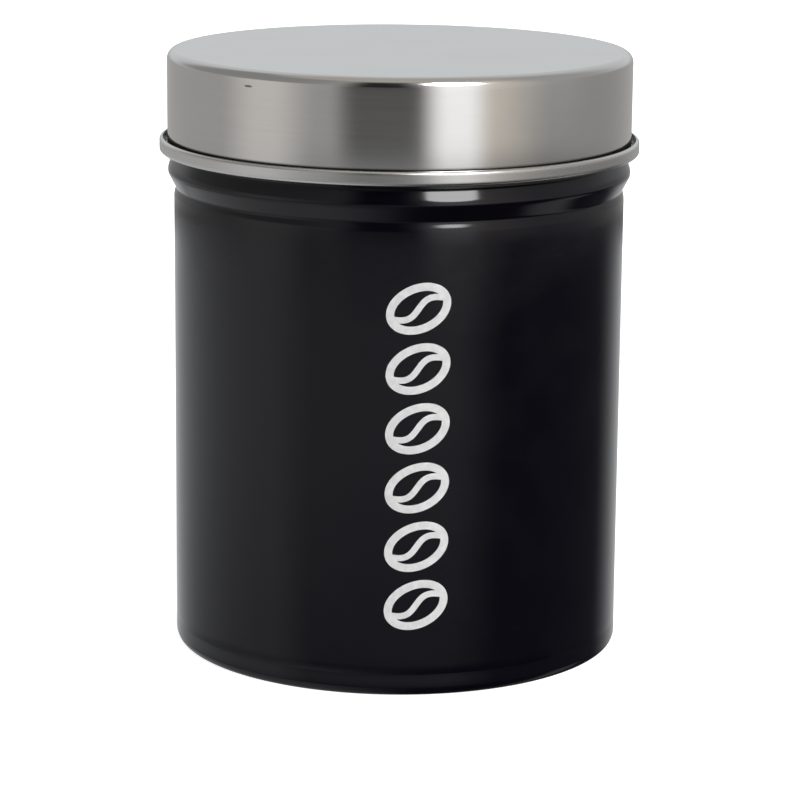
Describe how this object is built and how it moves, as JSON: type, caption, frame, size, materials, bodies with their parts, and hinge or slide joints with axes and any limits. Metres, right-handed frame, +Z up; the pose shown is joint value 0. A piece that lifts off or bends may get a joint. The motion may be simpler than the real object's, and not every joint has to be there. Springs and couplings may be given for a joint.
{
  "type": "coffee tin",
  "caption": "Round kitchen coffee tin: black lacquered steel body with a stop bead and a seamed base, and a push-on brushed steel lid with a rolled hem and a seal inside.",
  "frame": {"origin": "on the tin's round axis, at the height of the ring of the base seam that it stands on", "axes": "+Z up along the round axis, from the base to the lid; -Y towards the printed front"},
  "size_m": [0.1118, 0.1118, 0.14],
  "materials": {
    "black_lacquer": "gloss",
    "brushed_steel": "satin",
    "silicone": "satin",
    "white_print": "satin"
  },
  "bodies": {
    "tin": {"body_shell": "black_lacquer", "base_end": "black_lacquer"},
    "seal": {"lid_seal": "silicone"},
    "lid": {"lid_shell": "brushed_steel"}
  },
  "joints": [
    {"name": "lid_lift", "type": "slide", "parent": "tin", "child": "seal", "axis": [0, 0, 1], "range_m": [0, 0.06]},
    {"name": "lid_turn", "type": "hinge", "parent": "seal", "child": "lid", "pos_m": [0, 0, 0.14], "axis": [0, 0, 1], "continuous": true}
  ]
}
